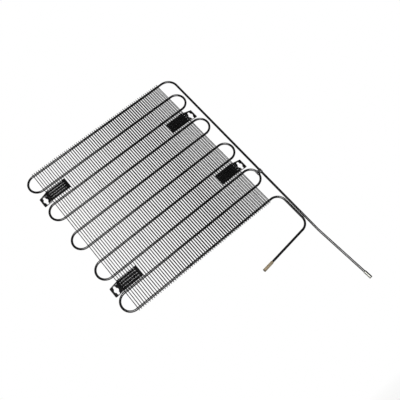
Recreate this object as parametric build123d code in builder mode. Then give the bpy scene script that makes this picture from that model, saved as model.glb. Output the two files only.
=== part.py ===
"""Wire-on-tube refrigeration condenser: one serpentine steel tube between two layers of welded wires.

Millimetres. +X runs along the passes, +Z is up as the condenser hangs behind a cabinet, and the
cabinet is on the +Y side. The origin lies midway between the two left keyholes, on the rear face of
their tabs, which is the face that meets the cabinet.
"""
from build123d import *
from math import cos, radians, sqrt, tan
import os

# Tube
tube_diameter = 4.76
tube_wall = 0.7
pass_count = 10
tube_pitch = 39.0
left_lead = 2.2  # straight tube between the first wire and the left bends
right_lead = 5.4  # straight tube between the last wire and the right bends

# Wires
wire_diameter = 1.6
wire_count = 65
wire_pitch = 5.0
wire_overhang = 4.5  # how far a wire runs past the axis of the first and last pass

# Outlet: the last pass turns down in line with the right crowns, then back under the panel
outlet_drop = 83.4  # corner of the drop and the leg, below the last pass
outlet_leg_reach = 102.1  # run of the leg towards -X, up to its socket
outlet_leg_fall = 10.9

# Riser: the hot gas comes in at its foot and enters the first pass
riser_head_reach = 9.2  # riser axis beyond that of the right crowns, at its head
riser_bend_radius = 23.0
riser_gap = 0.1  # riser to the outlet drop, where the two run side by side
riser_kick_drop = 104.0  # the gentle kick at its waist, below the last pass
riser_kick_radius = 150.0
riser_foot_reach = 10.8  # beyond the right crowns, at the riser's foot
riser_foot_drop = 215.0  # start of the socket, below the last pass

# Sockets, both swaged from the tube itself to take a tube of the same size
socket_clearance = 0.1  # all round the tube that is brazed in
socket_wall = 0.65
socket_flare = 2.0
inlet_socket_length = 17.0
outlet_socket_length = 24.0
socket_lip = 0.25

# Mounting brackets, stamped from sheet
sheet = 0.8
bend_radius_inside = 1.0
plate_reach = 45.3  # plate, from the edge wire inwards
plate_height = 25.0
tab_reach = 19.6  # tab, from the edge wire outwards
tab_height = 22.0
tab_corner = 2.0
plate_corner = 1.0
stand_off = 7.0  # tube axis to the face that meets the cabinet
web_gap = 0.5  # edge wire to the bracket's web
passes_over_upper_left = 2  # passes above the upper left bracket
passes_over_upper_right = 3
passes_under_lower_left = 2
passes_under_lower_right = 3
right_bracket_lowering = 1.5  # below the middle of its bay
seat_gap = 0.3  # lower left bracket to the pass below it

# Keyhole: a screw head's circle with a slot above and below it
keyhole_inset = 8.8  # keyhole axis from the tab's outer edge
keyhole_diameter = 9.4
slot_width = 4.8
slot_length = 18.4

# Ribs pressed into the bracket plate
rib_count = 4
rib_spacing = 5.7
rib_width = 4.4
rib_rise = 1.5  # crest above the plate's rear face
rib_slope = 30.0  # degrees off square, all round
rib_start = 1.0  # from the edge wire inwards
rib_end = 39.4

# Clip that ties the riser to a bend
clip_length = 8.0
clip_sheet = 0.7
clip_clearance = 0.2
clip_waist = 2.6  # gap inside the strap, where it is pinched between the two tubes
clip_slit = 1.4

# Worked-out places
tube_radius = tube_diameter / 2
wire_radius = wire_diameter / 2
bend_radius = tube_pitch / 2
tube_y = -stand_off
keyhole_reach = tab_reach - keyhole_inset  # keyhole axis, from the edge wire outwards
first_wire_x = keyhole_reach
last_wire_x = first_wire_x + (wire_count - 1) * wire_pitch
wire_offset = tube_radius + wire_radius
left_bend_x = first_wire_x - left_lead
right_bend_x = last_wire_x + right_lead
crown_x = right_bend_x + bend_radius  # axis of the right crowns, where they run upright

# Bracket heights below the first pass: the upper left one sits in the middle of its bay, the lower
# left one stands on the pass below it, and the right ones hang a little under the middle of theirs
upper_left_drop = passes_over_upper_left * tube_pitch - bend_radius
lower_left_pass = pass_count - passes_under_lower_left
lower_left_drop = lower_left_pass * tube_pitch - tube_radius - seat_gap - plate_height / 2
upper_right_drop = passes_over_upper_right * tube_pitch - bend_radius + right_bracket_lowering
lower_right_pass = pass_count - passes_under_lower_right
lower_right_drop = lower_right_pass * tube_pitch - bend_radius + right_bracket_lowering
first_pass_z = (upper_left_drop + lower_left_drop) / 2
last_pass_z = first_pass_z - (pass_count - 1) * tube_pitch


def pass_z(number):
    """Height of a pass, counted from 1 at the top."""
    return first_pass_z - (number - 1) * tube_pitch


def finish(builder, label):
    """Label a finished piece and write it."""
    builder.part.label = label
    export_step(builder.part, f"parts/{label}.step")


os.makedirs("parts", exist_ok=True)
panel = Plane.XZ.offset(stand_off)  # local x is +X and local y is +Z

# Centre line of the tube, from the foot of the riser to the end of the outlet leg
outlet_corner = (crown_x, last_pass_z - outlet_drop)
outlet_end = (outlet_corner[0] - outlet_leg_reach, outlet_corner[1] - outlet_leg_fall)
riser_foot = (crown_x + riser_foot_reach, last_pass_z - riser_foot_drop)
riser_waist = (crown_x + tube_diameter + riser_gap, last_pass_z - riser_kick_drop)
riser_head = (crown_x + riser_head_reach, first_pass_z)
with BuildLine(panel) as centre_line:
    FilletPolyline(
        riser_foot, riser_waist, riser_head, (left_bend_x, first_pass_z),
        radius=[riser_kick_radius, riser_bend_radius],
    )
    for number in range(1, pass_count):
        z = pass_z(number)
        bend_x, crown_reach = (left_bend_x, -bend_radius) if number % 2 else (right_bend_x, bend_radius)
        crown = (bend_x + crown_reach, z - bend_radius)
        ThreePointArc((bend_x, z), crown, (bend_x, z - tube_pitch))
        if number < pass_count - 1:
            Line((left_bend_x, z - tube_pitch), (right_bend_x, z - tube_pitch))
    FilletPolyline(
        (left_bend_x, last_pass_z), (outlet_corner[0], last_pass_z), outlet_corner, outlet_end,
        radius=[bend_radius, bend_radius],
    )
tube_path = centre_line.wires()[0]


def socket_profile(mouth, length):
    """Half section of a swaged socket, beside its axis, which runs back from the mouth."""
    bore = tube_radius + socket_clearance
    outside = bore + socket_wall
    with BuildSketch(mouth) as profile:
        with BuildLine():
            Polyline(
                (bore, 0),
                (outside - socket_lip, 0),
                (outside, -socket_lip),
                (outside, socket_flare - length),
                (tube_radius, -length),
                (tube_radius - tube_wall, -length),
                (bore, socket_flare - length),
                close=True,
            )
        make_face()
    return profile.sketch


def socket_plane(end, direction, length):
    """Plane whose y axis leaves the tube's end along its run, with its origin at the socket's mouth."""
    return Plane(origin=end + direction * length, x_dir=direction.cross(Vector(0, 1, 0)), z_dir=(0, 1, 0))


inlet_direction = -(tube_path % 0)
outlet_direction = tube_path % 1
inlet_mouth = socket_plane(tube_path @ 0, inlet_direction, inlet_socket_length)
outlet_mouth = socket_plane(tube_path @ 1, outlet_direction, outlet_socket_length)

with BuildPart() as serpentine_tube:
    with BuildSketch(Plane(origin=tube_path @ 0, z_dir=tube_path % 0)) as tube_section:
        Circle(tube_radius)
        Circle(tube_radius - tube_wall, mode=Mode.SUBTRACT)
    sweep(path=tube_path)
    for mouth, length in ((inlet_mouth, inlet_socket_length), (outlet_mouth, outlet_socket_length)):
        revolve(socket_profile(mouth, length), axis=Axis(mouth.origin, mouth.y_dir))
finish(serpentine_tube, "serpentine_tube")
tube_length = tube_path.length + inlet_socket_length + outlet_socket_length
print(f"tube: {tube_length:.0f} mm long, {pass_count} passes")


def wire_layer(label, y):
    """One layer of upright wires, welded across every pass."""
    wire_length = first_pass_z - last_pass_z + 2 * wire_overhang
    middle = Plane.XY.offset((first_pass_z + last_pass_z) / 2)
    with BuildPart(middle) as layer:
        with Locations(((first_wire_x + last_wire_x) / 2, y)):
            with GridLocations(wire_pitch, 0, wire_count, 1):
                Cylinder(wire_radius, wire_length)
    finish(layer, label)


wire_layer("front_wires", tube_y - wire_offset)
wire_layer("back_wires", tube_y + wire_offset)

# Bracket, drawn for the right side: x = 0 is the axis of the edge wire, and z = 0 its mid height
plate_front_y = tube_y - tube_radius
web_x = wire_radius + web_gap + sheet / 2
plate_end_x = web_x - sheet / 2 - bend_radius_inside
rib_length = rib_end - rib_start
# A groove in the front face leaves the same sheet on a rib's flanks as on its crest
groove_inset = sheet / cos(radians(rib_slope)) - sheet * tan(radians(rib_slope))

with BuildPart() as right_form:
    # Strip folded back twice, seen from above
    with BuildSketch():
        with BuildLine():
            FilletPolyline(
                (-plate_reach, plate_front_y + sheet / 2),
                (web_x, plate_front_y + sheet / 2),
                (web_x, -sheet / 2),
                (tab_reach, -sheet / 2),
                radius=bend_radius_inside + sheet / 2,
            )
        trace(line_width=sheet)
    extrude(amount=plate_height / 2, both=True)
    # Outline and keyhole, seen from the front
    with BuildSketch(Plane.XZ) as outline:
        with Locations((-plate_reach, 0)):
            Rectangle(plate_reach + plate_end_x, plate_height, align=(Align.MIN, Align.CENTER))
        fillet(outline.vertices().group_by(Axis.X)[0], plate_corner)
        with Locations((tab_reach, 0)):
            Rectangle(tab_reach, tab_height, align=(Align.MAX, Align.CENTER))
        fillet(outline.vertices().group_by(Axis.X)[-1], tab_corner)
        with Locations((keyhole_reach, 0)):
            Circle(keyhole_diameter / 2, mode=Mode.SUBTRACT)
            SlotOverall(slot_length, slot_width, rotation=90, mode=Mode.SUBTRACT)
    extrude(amount=stand_off + tube_diameter, both=True, mode=Mode.INTERSECT)
    # Ribs, pressed towards the back wires, each with its groove in the front face
    for face_y, inset, mode in (
        (plate_front_y + sheet, 0, Mode.ADD),
        (plate_front_y, groove_inset, Mode.SUBTRACT),
    ):
        with BuildSketch(Plane.XZ.offset(-face_y)):
            with Locations((-(rib_start + rib_end) / 2, 0)):
                with GridLocations(0, rib_spacing, 1, rib_count):
                    SlotOverall(rib_length - 2 * inset, rib_width - 2 * inset)
        extrude(amount=-rib_rise, taper=rib_slope, mode=mode)

with BuildPart() as left_form:
    add(right_form.part)
    mirror(about=Plane.YZ, mode=Mode.REPLACE)

for label, form, edge_wire_x, drop in (
    ("upper_left_bracket", left_form, first_wire_x, upper_left_drop),
    ("lower_left_bracket", left_form, first_wire_x, lower_left_drop),
    ("upper_right_bracket", right_form, last_wire_x, upper_right_drop),
    ("lower_right_bracket", right_form, last_wire_x, lower_right_drop),
):
    with BuildPart() as bracket:
        with Locations((edge_wire_x, 0, first_pass_z - drop)):
            add(form.part)
    finish(bracket, label)

# Clip: a strap round the riser and round the crown of the lowest right bend, pinched between the two
# and open at the back of the riser
clip_bend = pass_count - 2
clip_z = pass_z(clip_bend) - bend_radius
crown_sag = bend_radius - sqrt(bend_radius**2 - (clip_length / 2) ** 2)
climb = (clip_z - riser_waist[1]) / (riser_head[1] - riser_waist[1])
riser_x = riser_waist[0] + climb * (riser_head[0] - riser_waist[0])
clip_bore = tube_radius + clip_clearance
with BuildPart() as riser_clip:
    with BuildSketch(Plane.XY.offset(clip_z)):
        for grow, mode in ((clip_sheet, Mode.ADD), (0, Mode.SUBTRACT)):
            with Locations((riser_x, tube_y)):
                Circle(clip_bore + grow, mode=mode)
            with Locations((crown_x - crown_sag / 2, tube_y)):
                SlotCenterToCenter(crown_sag, 2 * (clip_bore + grow), mode=mode)
            with Locations(((riser_x + crown_x) / 2, tube_y)):
                Rectangle(riser_x - crown_x, clip_waist + 2 * grow, mode=mode)
        with Locations((riser_x, tube_y)):
            Rectangle(
                clip_slit, clip_bore + clip_sheet, align=(Align.CENTER, Align.MIN), mode=Mode.SUBTRACT
            )
    extrude(amount=clip_length / 2, both=True)
finish(riser_clip, "riser_clip")
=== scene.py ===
# %% [markdown]
# # A wire-on-tube refrigeration condenser
#
# The real thing is one steel tube bent to and fro in ten passes, with a layer of thin upright wires
# spot-welded to its front and another to its back. Four pressed brackets with keyholes hang it on the
# back of a cabinet, a riser brings the hot gas in at the right, and the whole is stoved in black
# enamel. Only the two swaged tube ends are left bare.
#
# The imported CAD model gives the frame: places true to the millimetre, which every piece below keeps.
# Each piece is made again with what the solids leave out, such as rolled edges, weld pads and finish.

# %% Load the frame
from math import atan2, cos, degrees, hypot, pi, radians, sin, sqrt, tan

import bmesh
import bpy
from mathutils import Matrix, Quaternion, Vector, geometry


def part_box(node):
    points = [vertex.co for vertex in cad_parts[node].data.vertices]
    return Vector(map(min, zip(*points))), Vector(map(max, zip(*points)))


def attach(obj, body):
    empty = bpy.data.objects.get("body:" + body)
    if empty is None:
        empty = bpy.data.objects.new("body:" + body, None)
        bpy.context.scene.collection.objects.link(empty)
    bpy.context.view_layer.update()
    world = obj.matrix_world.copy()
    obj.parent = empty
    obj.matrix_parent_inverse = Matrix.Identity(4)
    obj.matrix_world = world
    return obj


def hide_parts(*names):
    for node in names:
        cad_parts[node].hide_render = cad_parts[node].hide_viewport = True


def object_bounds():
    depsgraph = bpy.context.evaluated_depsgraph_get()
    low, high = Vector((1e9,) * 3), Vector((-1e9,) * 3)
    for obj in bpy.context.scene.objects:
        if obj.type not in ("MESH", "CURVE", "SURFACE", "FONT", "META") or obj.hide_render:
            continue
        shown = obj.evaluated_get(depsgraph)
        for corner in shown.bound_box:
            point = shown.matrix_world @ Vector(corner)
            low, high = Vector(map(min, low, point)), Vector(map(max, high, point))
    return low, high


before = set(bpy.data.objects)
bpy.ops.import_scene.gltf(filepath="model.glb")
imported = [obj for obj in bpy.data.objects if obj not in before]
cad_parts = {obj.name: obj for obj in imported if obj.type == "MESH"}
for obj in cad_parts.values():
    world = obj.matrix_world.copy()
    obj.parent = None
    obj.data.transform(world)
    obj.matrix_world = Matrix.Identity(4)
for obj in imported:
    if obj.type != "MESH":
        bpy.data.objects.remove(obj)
cad_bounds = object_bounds()
print("nodes in the frame:", ", ".join(sorted(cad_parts)))
print("frame from", tuple(cad_bounds[0]), "to", tuple(cad_bounds[1]))

# %% [markdown]
# ## Sizes
#
# The frame stands as the condenser hangs: x along the passes, z up, y towards the cabinet, and the
# origin midway between the two left keyholes on the face that meets the cabinet. Sizes could be read
# off the solids one by one, but named values show what belongs together, so only the boxes of the
# wires, the brackets and the clip are read, for their places. Blender counts in metres, so each size
# in millimetres is multiplied by mm.

# %% Sizes of the tube and the wires
mm = 0.001

tube_radius = 2.38 * mm
tube_wall = 0.7 * mm
tube_pitch = 39 * mm
pass_count = 10
bend_radius = tube_pitch / 2
tube_y = -7 * mm
left_bend_gap = 2.2 * mm  # from the outer wire's middle to the start of the bend
right_bend_gap = 5.4 * mm

wire_radius = 0.8 * mm
wire_pitch = 5 * mm
wire_count = 65
wire_overhang = 4.5 * mm

wires_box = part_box("front_wires")
first_wire_x = wires_box[0].x + wire_radius
last_wire_x = wires_box[1].x - wire_radius
first_pass_z = wires_box[1].z - wire_overhang
last_pass_z = wires_box[0].z + wire_overhang
left_crown_x = first_wire_x - left_bend_gap - bend_radius
right_crown_x = last_wire_x + right_bend_gap + bend_radius


def pass_z(number):
    """Height of a pass, counted from 1 at the top."""
    return first_pass_z - (number - 1) * tube_pitch


print(f"wires from x {first_wire_x / mm:.1f} to {last_wire_x / mm:.1f} mm")
print(f"passes from z {first_pass_z / mm:.1f} to {last_pass_z / mm:.1f} mm, crowns at "
      f"{left_crown_x / mm:.1f} and {right_crown_x / mm:.1f} mm")

# %% [markdown]
# ## Small helpers for node trees
#
# Node trees can be drawn by hand in Blender's editors, but a tree that is written down can be read,
# changed and run again. Materials and Geometry Nodes use the same few moves, so each move is a short
# function: add a node, do a step of arithmetic, stretch a value, read some noise.


# %% Helpers for every node tree
def add_node(tree, kind, inputs=None, **settings):
    """Adds a node, sets its options, then fills each named or numbered input or wires it."""
    node = tree.nodes.new(kind)
    node.location = (180 * (len(tree.nodes) % 12), -220 * (len(tree.nodes) // 12))
    for option, value in settings.items():
        setattr(node, option, value)
    for key, value in (inputs or {}).items():
        if isinstance(value, bpy.types.NodeSocket):
            tree.links.new(value, node.inputs[key])
        else:
            node.inputs[key].default_value = value
    return node


def calc(tree, operation, *values):
    """One step of arithmetic on numbers or sockets, as a socket."""
    return add_node(tree, "ShaderNodeMath", dict(enumerate(values)), operation=operation).outputs[0]


def vector_calc(tree, operation, *values, **named):
    """The same on vectors; a dot product or a distance comes out as a number."""
    node = add_node(tree, "ShaderNodeVectorMath", dict(enumerate(values)) | named, operation=operation)
    return node.outputs["Value" if operation in ("DOT_PRODUCT", "DISTANCE") else "Vector"]


def from_axes(tree, **axes):
    """A vector from numbers along X, Y and Z."""
    return add_node(tree, "ShaderNodeCombineXYZ", axes).outputs["Vector"]


def upward(tree, vector):
    """The Z of a vector."""
    return add_node(tree, "ShaderNodeSeparateXYZ", {0: vector}).outputs["Z"]


# %% Helpers for ranges, noise and groups
def stretch(tree, value, low, high, first=0.0, last=1.0):
    """Stretches a value so that low becomes first and high becomes last, and stops it there."""
    ends = {"Value": value, "From Min": low, "From Max": high, "To Min": first, "To Max": last}
    return add_node(tree, "ShaderNodeMapRange", ends, clamp=True).outputs["Result"]


def noise(tree, place, scale, detail):
    """Noise between 0 and 1, at a scale per metre."""
    values = {"Vector": place, "Scale": scale, "Detail": detail}
    return add_node(tree, "ShaderNodeTexNoise", values).outputs["Fac"]


def noise_mask(tree, place, scale, detail, low, high):
    """Noise stretched so that low becomes 0 and high becomes 1."""
    return stretch(tree, noise(tree, place, scale, detail), low, high)


def new_tree(name, kind, inputs, outputs):
    """A node group with its named inputs and outputs, and the nodes that stand for them."""
    tree = bpy.data.node_groups.new(name, kind)
    for direction, sockets in (("INPUT", inputs), ("OUTPUT", outputs)):
        for socket_name, socket_kind, default in sockets:
            socket = tree.interface.new_socket(socket_name, in_out=direction, socket_type=socket_kind)
            if default is not None:
                socket.default_value = default
    return tree, add_node(tree, "NodeGroupInput").outputs, add_node(tree, "NodeGroupOutput").inputs


# %% [markdown]
# ## Black enamel: what makes it look like enamel
#
# Stoved enamel isn't one flat black. It levels in the oven to a faint orange peel, so a reflection in
# it wavers a little. Dust settles on it as fine pale specks, most of all where the part lies in
# store. Its gloss changes in soft patches. A photograph of paint could give all this, but it would
# stretch over tubes and repeat. Noise in the space of the object does neither. These effects are
# shader groups, because more than one material uses them. Each group puts out only masks and heights,
# and the material decides what to do with them.

# %% Shader groups: orange peel, specks and patches
FLOAT, VECTOR = "NodeSocketFloat", "NodeSocketVector"


def make_orange_peel():
    """Height of a levelled coat of enamel: broad waves with a finer ripple in them."""
    tree, given, result = new_tree(
        "orange peel", "ShaderNodeTree",
        [("Place", VECTOR, None), ("Waves per metre", FLOAT, 420.0), ("Ripple", FLOAT, 0.35)],
        [("Height", FLOAT, None)],
    )
    broad = noise(tree, given["Place"], given["Waves per metre"], 1.0)
    fine = noise(tree, given["Place"], calc(tree, "MULTIPLY", given["Waves per metre"], 3.7), 2.0)
    ripple = calc(tree, "MULTIPLY", fine, given["Ripple"])
    tree.links.new(calc(tree, "ADD", broad, ripple), result["Height"])
    return tree


def make_specks():
    """Mask of settled dust: small round specks, sparse, and thicker in some places than in others."""
    tree, given, result = new_tree(
        "dust specks", "ShaderNodeTree",
        [("Place", VECTOR, None), ("Specks per metre", FLOAT, 1100.0), ("Share", FLOAT, 0.16)],
        [("Mask", FLOAT, None)],
    )
    cells = add_node(tree, "ShaderNodeTexVoronoi",
                     {"Vector": given["Place"], "Scale": given["Specks per metre"]}).outputs
    lot = add_node(tree, "ShaderNodeSeparateColor", {"Color": cells["Color"]}).outputs
    size = calc(tree, "MULTIPLY_ADD", lot["Green"], 0.20, 0.08)
    dot = stretch(tree, calc(tree, "DIVIDE", cells["Distance"], size), 1.0, 0.5)
    chosen = calc(tree, "LESS_THAN", lot["Red"], given["Share"])
    drift = noise_mask(tree, given["Place"], 38.0, 2.0, 0.42, 0.66)
    tree.links.new(calc(tree, "MULTIPLY", calc(tree, "MULTIPLY", dot, chosen), drift), result["Mask"])
    return tree


def make_patches():
    """Soft patches a few centimetres across, for a gloss that changes over the surface."""
    tree, given, result = new_tree(
        "soft patches", "ShaderNodeTree",
        [("Place", VECTOR, None), ("Patches per metre", FLOAT, 30.0)],
        [("Mask", FLOAT, None)],
    )
    mask = noise_mask(tree, given["Place"], given["Patches per metre"], 3.0, 0.35, 0.65)
    tree.links.new(mask, result["Mask"])
    return tree


orange_peel, dust_specks, soft_patches = make_orange_peel(), make_specks(), make_patches()
print("shader groups:", orange_peel.name, "+", dust_specks.name, "+", soft_patches.name)

# %% [markdown]
# ## The enamel itself
#
# The base is a near-black with a trace of warmth. Dust lightens it, and the soft patches move its
# roughness between glossy and satin. The bump is kept low: the peel is some microns high on a tube
# under five millimetres thick. A bracket carries a "rim" attribute, 1 at a cut edge and 0 inside,
# where the coat has drawn thin and the primer shows through brownish. The clip slides along the riser
# when it is fitted, so its coat is rubbed through to zinc in streaks, whose lighter grey is partly a
# painted highlight.


# %% The black enamel
def blend_colours(tree, mask, first, second):
    """Mixes two colours by a mask; a mix of colours has its inputs at 6 and 7."""
    mix = add_node(tree, "ShaderNodeMix", {0: mask, 6: first, 7: second}, data_type="RGBA")
    return mix.outputs[2]


def new_material(name):
    """A material with an empty node tree, ready for its own nodes."""
    material = bpy.data.materials.new(name)
    material.use_nodes = True
    material.node_tree.nodes.clear()
    return material, material.node_tree


def coat_metal(tree, relief, surface):
    """The end of a metal finish: its relief as bump, the shader and the material's output."""
    bump = add_node(tree, "ShaderNodeBump", relief)
    shader = add_node(tree, "ShaderNodeBsdfPrincipled", surface | {"Normal": bump.outputs["Normal"]})
    add_node(tree, "ShaderNodeOutputMaterial", {"Surface": shader.outputs["BSDF"]})


black, dust = (0.0050, 0.0048, 0.0050, 1), (0.10, 0.095, 0.085, 1)
# the zinc grey is wear on the clip, and also its painted highlight
primer, zinc = (0.045, 0.035, 0.027, 1), (0.30, 0.30, 0.31, 1)
enamel_rough, enamel_gloss = 0.15, 0.95
peel_height = 0.015 * mm


def make_enamel(name, rim_wear=0.0, rubbed=0.0):
    """Black stoving enamel over steel; rim_wear is how strongly thin edges show.

    rubbed is the share where the coat is worn off down to the zinc; that lighter grey is partly a
    painted highlight.
    """
    material, tree = new_material(name)
    place = add_node(tree, "ShaderNodeTexCoord").outputs["Object"]
    height, speck, patch = (
        add_node(tree, "ShaderNodeGroup", {"Place": place}, node_tree=group).outputs[0]
        for group in (orange_peel, dust_specks, soft_patches))
    colour = blend_colours(tree, speck, black, dust)
    rough = calc(tree, "MULTIPLY_ADD", patch, 0.06, enamel_rough)
    rough = calc(tree, "ADD", rough, calc(tree, "MULTIPLY", speck, 0.35))
    metallic = 0.0
    # worn zinc streaks, lighter grey and half metallic: partly wear, partly a painted highlight on the
    # clip
    if rubbed:
        streaks = noise_mask(tree, place, 240.0, 3.0, 0.58 - rubbed * 0.3, 0.80 - rubbed * 0.3)
        colour = blend_colours(tree, streaks, colour, zinc)
        rough = calc(tree, "ADD", rough, calc(tree, "MULTIPLY", streaks, 0.22))
        metallic = calc(tree, "MULTIPLY", streaks, 0.5)
    if rim_wear:
        rim = add_node(tree, "ShaderNodeAttribute", attribute_name="rim").outputs["Fac"]
        broken = noise_mask(tree, place, 700.0, 2.0, 0.40, 0.62)
        worn = calc(tree, "MULTIPLY", calc(tree, "MULTIPLY", rim, broken), rim_wear)
        colour = blend_colours(tree, worn, colour, primer)
        rough = calc(tree, "ADD", rough, calc(tree, "MULTIPLY", worn, 0.2))
    coat_metal(tree, {"Height": height, "Strength": 0.35, "Distance": peel_height},
               {"Base Color": colour, "Roughness": rough, "Metallic": metallic,
                "Specular IOR Level": enamel_gloss, "IOR": 1.6})
    return material


tube_enamel = make_enamel("tube enamel")
wire_enamel = make_enamel("wire enamel")
bracket_enamel = make_enamel("bracket enamel", rim_wear=0.6)
clip_wear_and_highlight = make_enamel("rubbed clip enamel with painted highlight", rubbed=0.55)
print("enamels:", ", ".join(m.name for m in (tube_enamel, wire_enamel, bracket_enamel, clip_wear_and_highlight)))

# %% [markdown]
# ## Bare tube ends
#
# Both ends were plugged when the tube was painted, so the steel shows. The outlet end keeps the thin
# copper wash of the tube mill, now a dull tan that darkens to brown in streaks along the draw
# direction. The inlet end is bright grey steel with a black band down one side, a painted dark
# reflection. Streaks could follow the axes of the frame, but the two ends point different ways.
# So each piece carries two attributes, "along" in metres from the mouth and "around" in turns, and
# the streaks are noise stretched out along the first.


# %% Bare steel, copper-washed and plain
scratch_depth = 0.03 * mm
# painted shade for the mouths, and the black of the painted reflection band on the inlet
painted_mouth_shade, painted_reflection_band_black = (0.03, 0.022, 0.016, 1), (0.005, 0.005, 0.005, 1)
painted_reflection_band_rough = 0.16


def make_bare_steel(name, pale, dark, rough, metal, painted_reflection_band=None):
    """Drawn steel tube: streaks along its axis, painted shade at the mouth, and fine scratches as
    bump.

    The last argument is where a black band paints a dark reflection on the socket: its middle and
    its half width in turns, and the distance from the mouth where it narrows.
    """
    material, tree = new_material(name)
    along, around = (add_node(tree, "ShaderNodeAttribute", attribute_name=label).outputs["Fac"]
                     for label in ("along", "around"))
    turn = calc(tree, "MULTIPLY", around, 2 * pi)
    ring = from_axes(tree, X=calc(tree, "COSINE", turn), Y=calc(tree, "SINE", turn),
                     Z=calc(tree, "MULTIPLY", along, 40.0))
    streaks = noise_mask(tree, ring, 3.2, 4.0, 0.36, 0.66)
    scratches = noise(tree, ring, 26.0, 3.0)
    # painted shade: the colour darkens towards the mouth, outside and in the bore
    mouth = stretch(tree, along, 0.3 * mm, 1.8 * mm, 0.85, 0.0)
    colour = blend_colours(tree, streaks, pale, dark)
    colour = blend_colours(tree, mouth, colour, painted_mouth_shade)
    roughness = calc(tree, "MULTIPLY_ADD", streaks, 0.15, rough)
    metallic = metal
    # painted reflection: a black, glossy band down one side of the socket stands in for its dark
    # reflection
    if painted_reflection_band:
        middle, half_width, narrow_from = painted_reflection_band
        facing = calc(tree, "COSINE", calc(tree, "SUBTRACT", turn, 2 * pi * middle))
        wavy = calc(tree, "MULTIPLY_ADD", streaks, 0.05, cos(2 * pi * half_width))
        taper = stretch(tree, along, narrow_from, narrow_from + 1.5 * mm, 0.2, 0.0)
        painted_reflection_mask = calc(tree, "GREATER_THAN", facing, calc(tree, "ADD", wavy, taper))
        off_reflection_band = calc(tree, "SUBTRACT", 1.0, painted_reflection_mask)
        colour = blend_colours(tree, painted_reflection_mask, colour, painted_reflection_band_black)
        metallic = calc(tree, "MULTIPLY", off_reflection_band, metal)
        rougher = calc(tree, "SUBTRACT", roughness, painted_reflection_band_rough)
        roughness = calc(tree, "MULTIPLY_ADD", rougher, off_reflection_band, painted_reflection_band_rough)
    coat_metal(tree, {"Height": scratches, "Strength": 0.3, "Distance": scratch_depth},
               {"Base Color": colour, "Roughness": roughness, "Metallic": metallic})
    return material


copper_washed = make_bare_steel(
    "copper-washed steel", pale=(0.50, 0.41, 0.28, 1), dark=(0.32, 0.25, 0.16, 1),
    rough=0.32, metal=0.6)
bright_steel = make_bare_steel(
    "bright drawn steel", pale=(0.52, 0.52, 0.48, 1), dark=(0.34, 0.35, 0.31, 1),
    rough=0.30, metal=0.55, painted_reflection_band=(0.89, 0.17, 4.0 * mm))
print("bare steels:", copper_washed.name, "+", bright_steel.name)

# %% [markdown]
# ## From a Geometry Nodes tree to a plain mesh
#
# A tree only describes a shape. To hand the shape on, an object is given the tree as a modifier, its
# inputs are set by identifier before it is first evaluated, and the evaluated mesh is kept in place
# of the modifier. After that the piece is a plain mesh like any other.


# %% Helpers that finish a piece
def link_object(name, mesh):
    """Puts a mesh into the scene as an object at the origin."""
    piece = bpy.data.objects.new(name, mesh)
    bpy.context.scene.collection.objects.link(piece)
    return piece


def keep_result(piece):
    """Replaces a piece's mesh by what its modifiers make of it, and removes them."""
    graph = bpy.context.evaluated_depsgraph_get()
    mesh = bpy.data.meshes.new_from_object(piece.evaluated_get(graph), depsgraph=graph)
    piece.modifiers.clear()
    piece.data = mesh
    mesh.name = piece.name
    return piece


def settle_faces(mesh, crease=None):
    """Turns all faces round if the signed volume is negative, and marks edges past crease degrees."""
    shape = bmesh.new()
    shape.from_mesh(mesh)
    if shape.calc_volume(signed=True) < 0:
        bmesh.ops.reverse_faces(shape, faces=shape.faces)
    shape.to_mesh(mesh)
    shape.free()
    if crease:
        mesh.set_sharp_from_angle(angle=radians(crease))


def declare(piece, material_slot, *nodes):
    """Fixes a piece to the frame's one body, hides the CAD nodes it stands for and prints its size."""
    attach(piece, "root")
    if nodes:
        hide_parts(*nodes)
    triangles = sum(len(face.vertices) - 2 for face in piece.data.polygons)
    print(f"{piece.name}: {len(piece.data.vertices)} points, {triangles} triangles")


# %% Helpers for a tree that makes a piece
def start_mesh(name, points, edges, numbers=(), directions=()):
    """Points and edges with attributes, for a tree to start from."""
    mesh = bpy.data.meshes.new(name)
    mesh.from_pydata(points, edges, [])
    for label, values in numbers:
        mesh.attributes.new(label, "FLOAT", "POINT").data.foreach_set("value", values)
    for label, values in directions:
        flat = [number for value in values for number in value]
        mesh.attributes.new(label, "FLOAT_VECTOR", "POINT").data.foreach_set("vector", flat)
    return mesh


def chain(points):
    """The edges that join points one after another."""
    return [(i, i + 1) for i in range(len(points) - 1)]


def grow(name, start, tree, values):
    """A piece made by a Geometry Nodes tree from a start mesh, with named input values."""
    piece = link_object(name, start)
    modifier = piece.modifiers.new("shape", "NODES")
    modifier.node_group = tree
    for socket in tree.interface.items_tree:
        if socket.in_out == "INPUT" and socket.name in values:
            modifier[socket.identifier] = values[socket.name]
    return keep_result(piece)


def step(tree, kind, flow, inputs=None, **settings):
    """Sends the flow of geometry through one more node."""
    return add_node(tree, "GeometryNode" + kind, {0: flow} | (inputs or {}), **settings).outputs[0]


def named_value(tree, label, kind="FLOAT"):
    """A named attribute, as a socket."""
    node = add_node(tree, "GeometryNodeInputNamedAttribute", {"Name": label}, data_type=kind)
    return node.outputs["Attribute"]


def finish_tree(tree, flow, given, result):
    """The end of every tree: smooth faces, copies made real, and the finish."""
    flow = step(tree, "SetShadeSmooth", flow)
    flow = step(tree, "RealizeInstances", flow)
    flow = step(tree, "SetMaterial", flow, {"Material": given["Finish"]})
    tree.links.new(flow, result["Geometry"])
    return tree


# %% [markdown]
# ## The centre line of the tube
#
# The tube is bent in one plane, so its centre line is a flat path: straight runs whose corners are
# rounded. It could be drawn as a curve by hand, but a bending machine works from a list of corners
# and radii, and so does this. A return bend is two corners with the full bend radius each, which meet
# as a half circle. One list gives the whole tube, from the foot of the riser, through the ten passes,
# to the end of the outlet leg.

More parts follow.
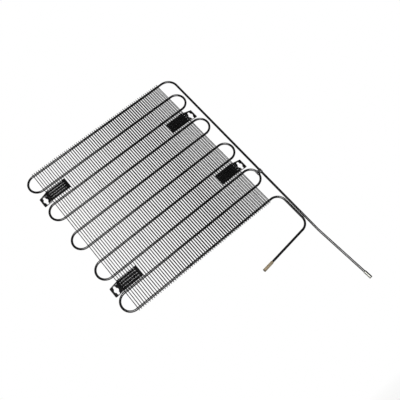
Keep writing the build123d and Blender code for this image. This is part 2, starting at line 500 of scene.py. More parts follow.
# %% Corners of the tube
outlet_drop, foot_drop, waist_drop = 83.4 * mm, 215 * mm, 104 * mm  # below the last pass
foot_gap, waist_gap, head_gap = 10.8 * mm, 4.86 * mm, 9.2 * mm  # past the right bends' crowns
leg_reach, leg_fall = 102.1 * mm, 10.9 * mm  # from the outlet's corner
waist_radius, riser_radius = 150 * mm, 23 * mm

outlet_corner = (right_crown_x, last_pass_z - outlet_drop)
outlet_end = (outlet_corner[0] - leg_reach, outlet_corner[1] - leg_fall)
riser_foot = (right_crown_x + foot_gap, last_pass_z - foot_drop)
riser_waist = (right_crown_x + waist_gap, last_pass_z - waist_drop)
riser_head = (right_crown_x + head_gap, first_pass_z)

corners = [riser_foot, riser_waist, riser_head]
radii = [waist_radius, riser_radius]
for number in range(1, pass_count):
    crown_x = left_crown_x if number % 2 else right_crown_x
    corners += [(crown_x, pass_z(number)), (crown_x, pass_z(number + 1))]
    radii += [bend_radius, bend_radius]
corners += [(right_crown_x, last_pass_z), outlet_corner, outlet_end]
radii += [bend_radius, bend_radius]
print(f"{len(corners)} corners, {len(radii)} of them rounded")

# %% Rounding the corners
shortest_run = 0.02 * mm  # two bends closer than this count as one
easing = 4  # the flattening comes and goes over a bend's first and last quarter


def bend_at(before, corner, after, radius):
    """A rounded corner: the heading before it, its turn, and how far from the corner it begins."""
    heading, leaving = (corner - before).normalized(), (after - corner).normalized()
    turn = atan2(heading.cross(leaving).y, heading.dot(leaving))
    return heading, turn, radius * tan(abs(turn) / 2)


def rounded_path(corners, radii, turn_step=radians(5)):
    """Stations along straight runs with rounded corners: place, heading and how far into a bend."""
    axis = Vector((0, 1, 0))
    points = [Vector((x, 0, z)) for x, z in corners]
    bends = [bend_at(*spot) for spot in zip(points, points[1:], points[2:], radii)]
    starts = [0.0] + [bend[2] for bend in bends] + [0.0]
    runs = [(b - a).length - s - t > shortest_run
            for a, b, s, t in zip(points, points[1:], starts, starts[1:])]
    stations = [(points[0], bends[0][0], 0.0)]
    for corner, radius, bend, run_before, run_after in zip(points[1:], radii, bends, runs, runs[1:]):
        heading, turn, start = bend
        arm = axis.cross(heading) * (-radius if turn > 0 else radius)
        centre = corner - heading * start - arm
        steps = max(2, round(abs(turn) / turn_step))
        for number in range(0 if run_before else 1, steps + 1):
            part = number / steps
            spin = Matrix.Rotation(turn * part, 3, axis)
            ease_in = easing * part if run_before else 1.0
            ease_out = easing * (1 - part) if run_after else 1.0
            bent = min(1.0, ease_in, ease_out) * min(1.0, bend_radius / radius)
            stations.append((centre + spin @ arm, spin @ heading, bent))
    stations.append((points[-1], (points[-1] - points[-2]).normalized(), 0.0))
    return stations


tube_line = rounded_path(corners, radii)
tube_length = sum((b[0] - a[0]).length for a, b in zip(tube_line, tube_line[1:]))
print(f"centre line: {len(tube_line)} stations, {tube_length / mm:.0f} mm")

# %% [markdown]
# ## Sweeping the tube
#
# Blender's own curve sweep gives one skin. This tube has a wall and swaged ends, so the tree lays a
# grid round a list of rings instead: row by row, each ring takes its centre, its sideways direction
# and its girth from the matching station of the start mesh. The list runs out along the outside and
# home along the inside, and Merge by Distance closes it. A return bend is slightly flattened on a
# real bending machine, and the tree does that too.

# %% The tree that sweeps a tube
WHOLE = "NodeSocketInt"


def new_shape_tree(name, *inputs):
    """A Geometry Nodes tree that takes a start mesh, some inputs of its own and a finish."""
    shape = ("Geometry", "NodeSocketGeometry", None)
    return new_tree(name, "GeometryNodeTree",
                    [shape, *inputs, ("Finish", "NodeSocketMaterial", None)], [shape])


def make_tube_tree():
    """Rings of a tube, placed at the stations of the start mesh."""
    tree, given, result = new_shape_tree(
        "swept tube", ("Sides", WHOLE, 28), ("Outer radius", FLOAT, tube_radius),
        ("Bend flattening", FLOAT, 0.04))
    size = add_node(tree, "GeometryNodeAttributeDomainSize", {"Geometry": given["Geometry"]})
    round_count = calc(tree, "ADD", given["Sides"], 1.0)
    grid = add_node(tree, "GeometryNodeMeshGrid",
                    {"Vertices X": size.outputs["Point Count"], "Vertices Y": round_count})
    index = add_node(tree, "GeometryNodeInputIndex").outputs["Index"]
    ring = calc(tree, "FLOOR", calc(tree, "DIVIDE", calc(tree, "ADD", index, 0.5), round_count))
    spot = calc(tree, "SUBTRACT", index, calc(tree, "MULTIPLY", ring, round_count))
    turn = calc(tree, "DIVIDE", spot, given["Sides"])
    angle = calc(tree, "MULTIPLY", turn, 2 * pi)

    def station(field, kind="FLOAT"):
        """What a field holds at this ring's station."""
        return step(tree, "SampleIndex", given["Geometry"], {"Value": field, "Index": ring},
                    data_type=kind)

    girth = calc(tree, "MULTIPLY", station(named_value(tree, "girth")), given["Outer radius"])
    flat = calc(tree, "MULTIPLY", station(named_value(tree, "bent")), given["Bend flattening"])
    narrow = calc(tree, "MULTIPLY", girth, calc(tree, "SUBTRACT", 1.0, flat))
    wide = calc(tree, "MULTIPLY", girth, calc(tree, "ADD", 1.0, flat))
    side = station(named_value(tree, "side", "FLOAT_VECTOR"), "FLOAT_VECTOR")
    across = calc(tree, "MULTIPLY", narrow, calc(tree, "COSINE", angle))
    lean = vector_calc(tree, "SCALE", side, Scale=across)
    rise = from_axes(tree, Y=calc(tree, "MULTIPLY", wide, calc(tree, "SINE", angle)))
    centre = station(add_node(tree, "GeometryNodeInputPosition").outputs["Position"], "FLOAT_VECTOR")
    place = vector_calc(tree, "ADD", centre, vector_calc(tree, "ADD", lean, rise))
    flow = grid.outputs["Mesh"]
    for label, value in (("along", station(named_value(tree, "along"))), ("around", turn)):
        flow = step(tree, "StoreNamedAttribute", flow, {"Name": label, "Value": value},
                    data_type="FLOAT", domain="POINT")
    flow = step(tree, "SetPosition", flow, {"Position": place})
    flow = step(tree, "MergeByDistance", flow, {"Distance": 0.001 * mm})
    return finish_tree(tree, flow, given, result)


tube_tree = make_tube_tree()
print("tree for tubes:", tube_tree.name, "with", len(tube_tree.nodes), "nodes")


# %% The serpentine tube
def sweep_rings(name, rings, finish):
    """A closed tube from a list of rings (centre, heading, girth, bent, along)."""
    points, headings, girths, bends, alongs = zip(*(rings + rings[:1]))
    sides = [heading.cross(Vector((0, 1, 0))) for heading in headings]
    start = start_mesh(name + " stations", points, chain(points),
                       [("girth", girths), ("bent", bends), ("along", alongs)], [("side", sides)])
    piece = grow(name, start, tube_tree, {"Finish": finish})
    settle_faces(piece.data, crease=35)
    return piece


in_panel = Vector((0, tube_y, 0))
inner_girth = 1 - tube_wall / tube_radius
outside = [(place + in_panel, heading, 1.0, bent, 1.0) for place, heading, bent in tube_line]
inside = [(place + in_panel, heading, inner_girth, bent, 1.0)
          for place, heading, bent in reversed(tube_line)]
serpentine = sweep_rings("serpentine_tube_enamelled", outside + inside, tube_enamel)
declare(serpentine, "black_paint", "serpentine_tube")

# %% [markdown]
# ## The swaged sockets
#
# Each end of the tube was pressed over a plug, so that a tube of the same size slips in to be brazed:
# the wall swells over two millimetres, runs straight, and ends in a slightly rounded lip. A lathe
# shape turned about its own axis would do. The tree for the tube does it too, from a ring list that
# follows this section out and back, and hands on the attributes that the bare steel needs.


# %% Both sockets
def socket_rings(end, out, length):
    """Rings of a swaged socket from the tube's end to its mouth and back inside."""
    flare, lip, chamfer = 2 * mm, 0.25 * mm, 0.1 * mm
    clearance, swell = 0.1 * mm, 0.75 * mm
    bore, outer = tube_radius + clearance, tube_radius + swell
    ease = [(1 - cos(pi * k / 6)) / 2 for k in range(7)]
    section = [(flare * k / 6, tube_radius + (outer - tube_radius) * ease[k]) for k in range(7)]
    section += [(length * 0.6, outer), (length - lip, outer)]
    section += [(length - lip + lip * sin(pi * k / 8), outer - lip + lip * cos(pi * k / 8))
                for k in (1, 2, 3)]
    section += [(length, outer - lip), (length, bore + chamfer),
                (length - chamfer, bore), (length * 0.6, bore)]
    section += [(flare * k / 6, tube_radius - tube_wall + (bore - tube_radius + tube_wall) * ease[k])
                for k in reversed(range(7))]
    return [(end + out * d, out, radius / tube_radius, 0.0, length - d) for d, radius in section]


for name, (end, heading, _), sign, length, finish in (
    ("inlet_socket_bare", tube_line[0], -1, 17 * mm, bright_steel),
    ("outlet_socket_bare", tube_line[-1], 1, 24 * mm, copper_washed),
):
    rings = socket_rings(end + in_panel, heading * sign, length)
    declare(sweep_rings(name, rings, finish), "bare_tube")

# %% [markdown]
# ## The wires
#
# Each layer is one wire repeated 65 times. An Array modifier could repeat it, but every copy would be
# the same. Here the start mesh is a single upright line whose points carry a girth: full along the
# wire, drawn in at the two sheared tips. The tree turns that line into a rod, sets it on a row of
# points and makes the copies real. Hand and machine leave small differences, so it also bows each
# wire a little sideways and cuts each tip slightly short, from fixed seeds.


# %% The tree that makes a layer of wires
unlikeness = 7.31  # how far apart in the noise two neighbouring wires are
bows_per_metre = 9.0


def make_wire_tree():
    """A row of upright wires from one line, with small random differences."""
    tree, given, result = new_shape_tree(
        "wire layer", ("Wires", WHOLE, wire_count), ("Pitch", FLOAT, wire_pitch),
        ("Wire radius", FLOAT, wire_radius), ("Sides", WHOLE, 10), ("First wire", VECTOR, None),
        ("Bow", FLOAT, 0.3 * mm), ("Unevenness", FLOAT, 0.7 * mm), ("Seed", WHOLE, 1))
    section = add_node(tree, "GeometryNodeCurvePrimitiveCircle",
                       {"Resolution": given["Sides"], "Radius": given["Wire radius"]}).outputs["Curve"]
    rod = step(tree, "CurveToMesh", step(tree, "MeshToCurve", given["Geometry"]),
               {"Profile Curve": section, "Scale": named_value(tree, "girth"), "Fill Caps": True})
    row = add_node(tree, "GeometryNodeMeshLine",
                   {"Count": given["Wires"], "Start Location": given["First wire"],
                    "Offset": from_axes(tree, X=given["Pitch"])}).outputs["Mesh"]
    number = add_node(tree, "GeometryNodeInputIndex").outputs["Index"]
    row = step(tree, "StoreNamedAttribute", row, {"Name": "wire", "Value": number},
               data_type="FLOAT", domain="POINT")
    flow = step(tree, "RealizeInstances", step(tree, "InstanceOnPoints", row, {"Instance": rod}))

    wire = named_value(tree, "wire")
    height = upward(tree, add_node(tree, "GeometryNodeInputPosition").outputs["Position"])
    where = from_axes(tree, X=calc(tree, "MULTIPLY", wire, unlikeness), Y=given["Seed"],
                      Z=calc(tree, "MULTIPLY", height, bows_per_metre))
    wave = calc(tree, "SUBTRACT", noise(tree, where, 1.0, 1.0), 0.5)
    bow = calc(tree, "MULTIPLY", wave, calc(tree, "MULTIPLY", given["Bow"], 2.0))
    cuts = []
    for label, other_seed in (("upper tip", 0.0), ("lower tip", 500.0)):
        chance = add_node(tree, "FunctionNodeRandomValue",
                          {"ID": wire, "Seed": calc(tree, "ADD", given["Seed"], other_seed)},
                          data_type="FLOAT").outputs["Value"]
        short = calc(tree, "MULTIPLY", chance, given["Unevenness"])
        cuts.append(calc(tree, "MULTIPLY", short, named_value(tree, label)))
    shift = calc(tree, "SUBTRACT", cuts[1], cuts[0])
    flow = step(tree, "SetPosition", flow, {"Offset": from_axes(tree, X=bow, Z=shift)})
    return finish_tree(tree, flow, given, result)


wire_tree = make_wire_tree()
print("tree for wires:", wire_tree.name, "with", len(wire_tree.nodes), "nodes")

# %% Both layers of wires
tip_profile = [(0.0, 0.62), (0.10 * mm, 0.88), (0.30 * mm, 1.0)]  # depth below the tip, girth
wire_bottom = last_pass_z - wire_overhang
wire_top = first_pass_z + wire_overhang
upper = [(wire_top - depth, girth) for depth, girth in tip_profile]
lower = [(wire_bottom + depth, girth) for depth, girth in reversed(tip_profile)]
middle = [(first_pass_z - half * tube_pitch / 2, 1.0) for half in range(2 * pass_count - 1)]
heights, girths = zip(*(upper + middle + lower))
tip_count, rest = len(tip_profile), len(heights) - len(tip_profile)
for name, y, number, node in (
    ("front_wires_enamelled", tube_y - tube_radius - wire_radius, 3, "front_wires"),
    ("back_wires_enamelled", tube_y + tube_radius + wire_radius, 11, "back_wires"),
):
    start = start_mesh(
        name + " line", [(0, 0, z) for z in heights], chain(heights),
        [("girth", girths), ("upper tip", [1.0] * tip_count + [0.0] * rest),
         ("lower tip", [0.0] * rest + [1.0] * tip_count)],
    )
    layer = grow(name, start, wire_tree,
                 {"First wire": (first_wire_x, y, 0), "Seed": number, "Finish": wire_enamel})
    settle_faces(layer.data, crease=50)
    declare(layer, "black_paint", node)

# %% [markdown]
# ## The brackets
#
# A bracket starts as a flat blank. It could be modelled as folded from the start, with its ribs cut
# in, but a press works from the flat, and so does the script: the outline with its keyhole is filled
# with triangles on a fine grid, ribs are pressed into one end, and the blank is folded back twice
# over a small radius. The sheet's two faces lie half its thickness to either side of that surface,
# and Bevel rounds the sheared edges as the enamel does. The left brackets are the right ones mirrored.

# %% Sizes of a bracket
sheet = 0.8 * mm
plate_reach = 45.3 * mm
plate_height = 25 * mm
tab_reach = 19.6 * mm
tab_height = 22 * mm
keyhole_reach = 8.8 * mm  # from the end of the tab
head_radius, slot_radius, keyhole_half = 4.7 * mm, 2.4 * mm, 9.2 * mm
rib_count, rib_spacing, rib_height = 4, 5.7 * mm, 1.5 * mm
rib_half, crest_half = 2.2 * mm, 1.15 * mm
rib_start, rib_end = 1.0 * mm, 39.4 * mm
plate_corner, tab_corner = 1 * mm, 2 * mm

fold_radius = 1.0 * mm + sheet / 2  # to the middle of the sheet
web_x = wire_radius + 0.5 * mm + sheet / 2
plate_y = tube_y - tube_radius + sheet / 2
tab_y = -sheet / 2
first_fold = web_x - fold_radius  # where the flat plate ends
fold_length = fold_radius * pi / 2
web_length = tab_y - plate_y - 2 * fold_radius
tab_start = 2 * fold_length + web_length
blank_end = tab_start + tab_reach - web_x - fold_radius
blank_start = -plate_reach - first_fold
keyhole_at = blank_end - keyhole_reach
print(f"blank: {(blank_end - blank_start) / mm:.1f} mm long, folds {fold_length / mm:.2f} mm each")


# %% Outline of the blank
def arc(centre, radius, start, end, steps):
    """Points on an arc, angles in degrees."""
    turns = [radians(start + (end - start) * k / steps) for k in range(steps + 1)]
    return [(centre[0] + radius * cos(turn), centre[1] + radius * sin(turn)) for turn in turns]


def blank_outline():
    """Outer edge of the flat blank, anticlockwise."""
    high, low, q, r = plate_height / 2, tab_height / 2, plate_corner, tab_corner
    return (
        arc((blank_start + q, -high + q), q, 180, 270, 5) + [(0, -high), (0, -low)]
        + arc((blank_end - r, -low + r), r, 270, 360, 8) + arc((blank_end - r, low - r), r, 0, 90, 8)
        + [(0, low), (0, high)] + arc((blank_start + q, high - q), q, 90, 180, 5)
    )


def keyhole_outline():
    """A screw head's circle with a slot above and below."""
    meet = degrees(atan2(sqrt(head_radius**2 - slot_radius**2), slot_radius))
    upper = arc((keyhole_at, keyhole_half - slot_radius), slot_radius, 0, 180, 10)
    lower = arc((keyhole_at, slot_radius - keyhole_half), slot_radius, 180, 360, 10)
    return (arc((keyhole_at, 0), head_radius, -meet, meet, 12) + upper
            + arc((keyhole_at, 0), head_radius, 180 - meet, 180 + meet, 12) + lower)


# %% Distances and insides of an outline
def round_pairs(items):
    """Each item with the one after it, and the last with the first."""
    return zip(items, items[1:] + items[:1])


def gap_to(line, u, v):
    """Distance from a point to a closed outline."""
    best = 1.0
    for (ax, ay), (bx, by) in round_pairs(line):
        dx, dy = bx - ax, by - ay
        share = max(0.0, min(1.0, ((u - ax) * dx + (v - ay) * dy) / max(dx * dx + dy * dy, 1e-18)))
        best = min(best, hypot(u - ax - share * dx, v - ay - share * dy))
    return best


def holds(line, u, v):
    """True if a point lies inside a closed outline."""
    inside = False
    for (ax, ay), (bx, by) in round_pairs(line):
        if (ay > v) != (by > v) and u < ax + (v - ay) * (bx - ax) / (by - ay):
            inside = not inside
    return inside


# %% Ribs and folds
def pressed(u, v):
    """How far the sheet is pressed up at a point of the blank: long ribs with rounded sides."""
    x = u + first_fold
    best = 0.0
    for number in range(rib_count):
        middle = (number - (rib_count - 1) / 2) * rib_spacing
        beyond = max(-rib_end + rib_half - x, 0.0, x + rib_start + rib_half)
        off = hypot(beyond, v - middle)
        share = min(1.0, max(0.0, (rib_half - off) / (rib_half - crest_half)))
        best = max(best, rib_height * (1 - cos(pi * share)) / 2)
    return best


def folded(u, v):
    """Place on the middle of the pressed and folded sheet, and the way that it faces there."""
    if u <= 0:
        lift, near = pressed(u, v), 0.01 * mm
        slope_u = (pressed(u + near, v) - pressed(u - near, v)) / (2 * near)
        slope_v = (pressed(u, v + near) - pressed(u, v - near)) / (2 * near)
        facing = Vector((-slope_u, 1, -slope_v)).normalized()
        return Vector((first_fold + u, plate_y + lift, v)), facing
    if u < tab_start - fold_length:
        turn = min(u, fold_length) / fold_radius
        climb = max(0.0, u - fold_length)
        place = (first_fold + fold_radius * sin(turn),
                 plate_y + fold_radius * (1 - cos(turn)) + climb, v)
    else:
        turn = max(0.0, tab_start - u) / fold_radius
        run = max(0.0, u - tab_start)
        place = (web_x + fold_radius * (1 - sin(turn)) + run,
                 tab_y - fold_radius * (1 - cos(turn)), v)
    return Vector(place), Vector((-sin(turn), cos(turn), 0))


# %% The flat blank, filled with triangles
rim_width = 0.9 * mm  # how far the thin coat reaches in from a cut edge
rolled_edge = 0.12 * mm
edge_margin = 0.3 * mm  # no grid point lies closer to an edge
row_step, plate_step, fold_step, web_step, tab_step = (v * mm for v in (0.52, 0.62, 0.3, 1.2, 1.3))


def spread(start, end, apart):
    """Even places between two ends, about as far apart as asked."""
    count = max(1, round((end - start) / apart))
    return [start + (end - start) * k / count for k in range(count)]


def make_blank():
    """Triangles of the blank as points, faces and each point's closeness to a cut edge."""
    rim, hole = blank_outline(), keyhole_outline()
    columns = (spread(blank_start, 0, plate_step) + spread(0, fold_length, fold_step)
               + spread(fold_length, fold_length + web_length, web_step)
               + spread(fold_length + web_length, tab_start, fold_step)
               + spread(tab_start, blank_end, tab_step))
    rows = spread(-plate_height / 2, plate_height / 2, row_step)
    grid = [(u, v) for u in columns for v in (rows if u < 0 else rows[::2])
            if holds(rim, u, v) and not holds(hole, u, v)
            and min(gap_to(rim, u, v), gap_to(hole, u, v)) > edge_margin]
    points = [Vector(p) for p in rim + hole + grid]
    numbers = list(range(len(rim) + len(hole)))
    edges = [*round_pairs(numbers[:len(rim)]), *round_pairs(numbers[len(rim):])]
    found, _, faces, *_ = geometry.delaunay_2d_cdt(points, edges, [], 1, 1e-7)
    middles = [sum((found[i] for i in face), Vector((0, 0))) / 3 for face in faces]
    faces = [tuple(face) for face, middle in zip(faces, middles)
             if not holds(hole, *middle) and holds(rim, *middle)]
    near = [max(0.0, 1 - min(gap_to(rim, *p), gap_to(hole, *p)) / rim_width) for p in found]
    return [tuple(p) for p in found], faces, near


blank_points, blank_faces, blank_rim = make_blank()
print(f"blank: {len(blank_points)} points, {len(blank_faces)} triangles")


# %% Four brackets
def make_bracket(name, edge_x, middle_z, side, node):
    """A bracket folded from the blank; side is 1 for the right and -1 for the left."""
    sheet_places = [folded(u, v) for u, v in blank_points]
    points = []
    for skin in (-sheet / 2, sheet / 2):
        for place, facing in sheet_places:
            spot = place + facing * skin
            points.append((edge_x + side * spot.x, spot.y, middle_z + place.z + facing.z * skin))
    count = len(blank_points)
    faces = blank_faces + [tuple(i + count for i in reversed(face)) for face in blank_faces]
    owned = {(a, b) for face in blank_faces for a, b in round_pairs(face)}
    faces += [(b, a, a + count, b + count) for a, b in owned if (b, a) not in owned]
    mesh = bpy.data.meshes.new(name)
    mesh.from_pydata(points, [], faces)
    mesh.attributes.new("rim", "FLOAT", "POINT").data.foreach_set("value", blank_rim * 2)
    mesh.materials.append(bracket_enamel)
    mesh.shade_smooth()
    piece = link_object(name, mesh)
    edge = piece.modifiers.new("sheared edge", "BEVEL")
    edge.width, edge.segments, edge.angle_limit = rolled_edge, 2, radians(55)
    keep_result(piece)
    settle_faces(piece.data, crease=50)
    declare(piece, "black_paint", node)


bracket_places = []
for node in ("upper_left_bracket", "lower_left_bracket", "upper_right_bracket", "lower_right_bracket"):
    low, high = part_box(node)
    edge_x, side = (last_wire_x, 1) if "right" in node else (first_wire_x, -1)
    middle_z = (low.z + high.z) / 2
    bracket_places.append((edge_x, middle_z, side))
    make_bracket(node + "_pressed", edge_x, middle_z, side, node)

# %% [markdown]
# ## The clip
#
# A short strap ties the riser to the crown of the lowest right bend. It wraps round both tubes, is
# pinched between them, and is open at the back of the riser. Bending a flat strip with modifiers
# would take several steps. It is simpler to draw its path once, as seen from above, and let a tree
# sweep a strip with rounded edges along it.


# %% The riser clip
clip_sheet, clip_clearance, clip_slit = 0.7 * mm, 0.2 * mm, 0.75 * mm
clip_half_waist = 1.3 * mm + clip_sheet / 2
clip_bore = tube_radius + clip_clearance + clip_sheet / 2


def make_strap_tree():
    """A strip with rounded edges swept along the start mesh, which lies flat."""
    tree, given, result = new_shape_tree(
        "strap", ("Thickness", FLOAT, clip_sheet), ("Width", FLOAT, 8 * mm),
        ("Edge radius", FLOAT, 0.14 * mm))
    path = step(tree, "SetCurveNormal", step(tree, "MeshToCurve", given["Geometry"]), mode="Z_UP")
    box = add_node(tree, "GeometryNodeCurvePrimitiveQuadrilateral",
                   {"Width": given["Thickness"], "Height": given["Width"]}).outputs["Curve"]
    box = step(tree, "FilletCurve", box, {"Radius": given["Edge radius"], "Count": 3}, mode="POLY")
    strip = step(tree, "CurveToMesh", path, {"Profile Curve": box, "Fill Caps": True})
    return finish_tree(tree, strip, given, result)


def clip_path(riser_x, crown_x, bore, half_waist, slit, height):
    """Middle line of the strap, from one lip of the slit, round both tubes, to the other lip."""
    opening = degrees(slit / bore)
    join = degrees(atan2(half_waist, sqrt(bore**2 - half_waist**2)))
    line = arc((riser_x, tube_y), bore, 90 + opening, 180 - join, 9)
    line += arc((crown_x, tube_y), bore, join, 360 - join, 34)
    line += arc((riser_x, tube_y), bore, 180 + join, 450 - opening, 30)
    return [(x, y, height) for x, y in line]


clip_low, clip_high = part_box("riser_clip")
path = clip_path(clip_high.x - clip_bore - clip_sheet / 2, clip_low.x + clip_bore + clip_sheet / 2,
                 clip_bore, clip_half_waist, clip_slit, (clip_low.z + clip_high.z) / 2)
clip = grow("riser_clip_strap", start_mesh("clip path", path, chain(path)), make_strap_tree(),
            {"Finish": clip_wear_and_highlight})
settle_faces(clip.data, crease=40)
declare(clip, "black_paint", "riser_clip")

# %% [markdown]
# ## Spot welds
#
# Wherever a wire crosses a pass it is welded, 1,300 times in all, and the enamel fills the corner
# round each weld to a small soft pad. The brackets are welded to the wires along their upper and
# lower flats. A pad could be blended into each wire and tube, at a great cost in faces. One low ball,
# squashed and slightly varied, is set on every crossing instead.


# %% The tree that sets pads on points
def make_weld_tree():
    """A squashed ball on every point of the start mesh, each with its own small difference."""
    tree, given, result = new_shape_tree(
        "weld pads", ("Pad size", VECTOR, (1.35 * mm, 0.55 * mm, 1.35 * mm)),
        ("Variation", FLOAT, 0.18), ("Seed", WHOLE, 5))
    ball = add_node(tree, "GeometryNodeMeshUVSphere", {"Segments": 8, "Rings": 5, "Radius": 1.0})
    least = calc(tree, "SUBTRACT", 1.0, given["Variation"])
    factor = add_node(tree, "FunctionNodeRandomValue", {"Min": least, "Seed": given["Seed"]},
                      data_type="FLOAT").outputs["Value"]
    size = vector_calc(tree, "SCALE", given["Pad size"], Scale=factor)
    flow = step(tree, "InstanceOnPoints", step(tree, "MeshToPoints", given["Geometry"]),
                {"Instance": ball.outputs["Mesh"], "Scale": size})
    return finish_tree(tree, flow, given, result)


wires_on_plate = 8
flat_height = 11.6 * mm  # middle of the flat above the ribs, from the middle of the plate
crossings = [
    (first_wire_x + wire * wire_pitch, y, pass_z(number))
    for y in (tube_y - tube_radius, tube_y + tube_radius)
    for number in range(1, pass_count + 1)
    for wire in range(wire_count)
]
plate_welds = [
    (edge_x - side * wire * wire_pitch, tube_y - tube_radius, middle_z + flat * flat_height)
    for edge_x, middle_z, side in bracket_places
    for wire in range(1, wires_on_plate + 1)
    for flat in (-1, 1)
]
welds = grow("weld_pads", start_mesh("weld points", crossings + plate_welds, []), make_weld_tree(),
             {"Finish": wire_enamel})
settle_faces(welds.data)
declare(welds, "black_paint")

# %% [markdown]
# ## Light and background
#
# The photograph shows a product shot on white. The background is the world itself, at strength 1 for
# the camera and for anything that lets light through. Gloss sees that white too, but only on the far
# side of the object: the near side of such a studio is a dim room, and black enamel stays black
# because it mirrors that room. Where the room lies is fixed in the frame, so the gloss doesn't slide
# when another camera looks. An even fill comes from all round and more of it from above, so that a
# colour renders about as it is written. One soft lamp stands low on the near side and draws the thin
# highlights along the tubes and ribs.

# %% How the studio is mirrored
object_middle = (Vector(cad_bounds[0]) + Vector(cad_bounds[1])) / 2
studio_front = Vector((-0.2096, -0.9212, -0.3277))
far_side, near_side = -0.75, -0.35  # how far a direction points to the front, from -1 to 1
wall_top, ceiling_edge = 0.3, 0.7  # how far a direction points up
room_level, fill_level, ceiling_level = 0.015, 0.2, 1.1


def make_mirrored_studio():
    """How bright the studio is in a reflection: white on the far side, a dim room on the near side."""
    tree, given, result = new_tree(
        "mirrored studio", "ShaderNodeTree", [("Way", VECTOR, None)], [("Level", FLOAT, None)])
    front = vector_calc(tree, "DOT_PRODUCT", given["Way"], studio_front)
    tree.links.new(stretch(tree, front, far_side, near_side, 1.0, room_level), result["Level"])
    return tree


def studio_level(tree, way):
    """Places the studio's group in a tree."""
    return add_node(tree, "ShaderNodeGroup", {"Way": way}, node_tree=mirrored_studio).outputs["Level"]


mirrored_studio = make_mirrored_studio()
print(f"studio in gloss: 1 on the far side, {room_level} on the near side")

# %% World
world = bpy.data.worlds.new("white studio")
world.use_nodes = True
bpy.context.scene.world = world
sky = world.node_tree
sky.nodes.clear()
rays = add_node(sky, "ShaderNodeLightPath").outputs
way = add_node(sky, "ShaderNodeTexCoord").outputs["Generated"]
shown = calc(sky, "MAXIMUM", rays["Is Camera Ray"], rays["Is Transmission Ray"])
mirrored = calc(sky, "MULTIPLY", rays["Is Glossy Ray"], studio_level(sky, way))
diffuse = calc(sky, "SUBTRACT", 1.0, calc(sky, "MAXIMUM", shown, rays["Is Glossy Ray"]))
overhead = stretch(sky, upward(sky, way), wall_top, ceiling_edge, fill_level, ceiling_level)
fill = calc(sky, "MULTIPLY", diffuse, overhead)
strength = calc(sky, "ADD", calc(sky, "ADD", shown, mirrored), fill)
backdrop = add_node(sky, "ShaderNodeBackground", {"Color": (1, 1, 1, 1), "Strength": strength})
add_node(sky, "ShaderNodeOutputWorld", {"Surface": backdrop.outputs["Background"]})


# %% Lamp
def soft_lamp(name, place, aim, width, height, power):
    """A soft lamp that shines at a point and isn't seen itself."""
    lamp = bpy.data.lights.new(name, "AREA")
    lamp.shape, lamp.size, lamp.size_y, lamp.energy = "RECTANGLE", width, height, power
    holder = bpy.data.objects.new(name, lamp)
    holder.location = place
    holder.rotation_euler = (aim - place).to_track_quat("-Z", "Y").to_euler()
    holder.visible_camera = False
    bpy.context.scene.collection.objects.link(holder)
    print(f"{name}: {width} by {height} m, {power} W")


look_at = Vector((231.54, -7.0, -85.69)) * mm  # the lamp and the camera both point here
key_place = Vector((-0.05, -1.12, -0.38))
soft_lamp("key lamp", key_place, look_at, width=0.6, height=0.7, power=12.0)

# %% [markdown]
# ## The floor
#
# The floor is plain pale paint that takes the object's shadow. A wide floor lit by soft light renders
# a little grey, and more light on it would also fall on the object. So the floor fades to plain
# white, as seen by the camera, with the distance from the object's foot, and close to the foot the
# paint and its shadow stay. In gloss it is as bright as the studio in the same direction, and from
# below it is clear, because the camera may look up from under it.

# %% Finish of the floor
floor_z = -0.6
floor_corners = ((-1.6, -1.8), (2.0, -1.8), (2.0, 1.8), (-1.6, 1.8))
object_foot = (0.2, 0.0, floor_z)
least_white, white_from, all_white_at = 0.55, 0.1, 0.5
paint_tones = (0.86, 0.86, 0.86, 1), (0.89, 0.89, 0.885, 1)

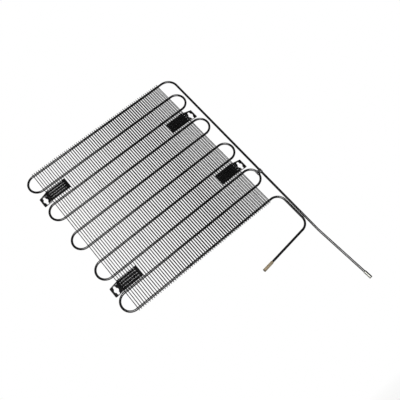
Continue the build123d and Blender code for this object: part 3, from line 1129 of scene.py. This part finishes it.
floor_finish, tree = new_material("pale floor")
place = add_node(tree, "ShaderNodeTexCoord").outputs["Object"]
rays = add_node(tree, "ShaderNodeLightPath").outputs
mottle = noise_mask(tree, place, 3.0, 3.0, 0.3, 0.7)
paint = add_node(tree, "ShaderNodeBsdfDiffuse", {"Color": blend_colours(tree, mottle, *paint_tones)})
way = vector_calc(tree, "NORMALIZE", vector_calc(tree, "SUBTRACT", place, object_middle))
in_gloss = calc(tree, "SUBTRACT", studio_level(tree, way), 1.0)
whiteness = calc(tree, "MULTIPLY_ADD", rays["Is Glossy Ray"], in_gloss, 1.0)
white = add_node(tree, "ShaderNodeEmission", {"Color": (1, 1, 1, 1), "Strength": whiteness})
off = vector_calc(tree, "DISTANCE", place, object_foot)
fade = stretch(tree, off, white_from, all_white_at, least_white, 1.0)
directly = calc(tree, "MAXIMUM", rays["Is Camera Ray"], rays["Is Transmission Ray"])
share = calc(tree, "MAXIMUM", calc(tree, "MULTIPLY", directly, fade), rays["Is Glossy Ray"])
above = add_node(tree, "ShaderNodeMixShader", {0: share, 1: paint.outputs[0], 2: white.outputs[0]})
clear = add_node(tree, "ShaderNodeBsdfTransparent")
below = add_node(tree, "ShaderNodeNewGeometry").outputs["Backfacing"]
both = add_node(tree, "ShaderNodeMixShader", {0: below, 1: above.outputs[0], 2: clear.outputs[0]})
add_node(tree, "ShaderNodeOutputMaterial", {"Surface": both.outputs[0]})

# %% Floor
floor_mesh = bpy.data.meshes.new("floor")
floor_mesh.from_pydata([(x, y, floor_z) for x, y in floor_corners], [], [(0, 1, 2, 3)])
floor_mesh.materials.append(floor_finish)
floor = link_object("floor", floor_mesh)
print("floor at z", floor_z, "m")

# %% [markdown]
# ## Camera
#
# The camera could be placed by eye. Here the photograph's viewpoint was worked out by fitting the
# grid of wires and passes to the picture. The camera stands a metre away, low and to the left, and is
# turned about its own axis. The fit put the middle of the first pixel at 0 and Blender puts its
# corner there, so the lens is shifted by half a pixel of a picture 400 pixels wide.

# %% Camera
camera_place = Vector((10.695, -977.597, -430.967)) * mm
camera_roll = radians(-42.709)
half_pixel = 0.5 / 400

camera_data = bpy.data.cameras.new("photograph")
camera_data.lens = 48.643
camera_data.sensor_width = 36
camera_data.shift_x, camera_data.shift_y = -half_pixel, half_pixel
camera = bpy.data.objects.new("photograph", camera_data)
bpy.context.scene.collection.objects.link(camera)
level_turn = (look_at - camera_place).to_track_quat("-Z", "Y")
camera.location = camera_place
camera.rotation_euler = (level_turn @ Quaternion((0, 0, 1), camera_roll)).to_euler()
bpy.context.scene.camera = camera
bpy.context.scene.view_settings.view_transform = "Standard"
print("camera turned", [round(degrees(angle), 2) for angle in camera.rotation_euler])

# %% [markdown] Update the scene
# The visual model has to stay inside the CAD model's box.

bpy.context.view_layer.update()
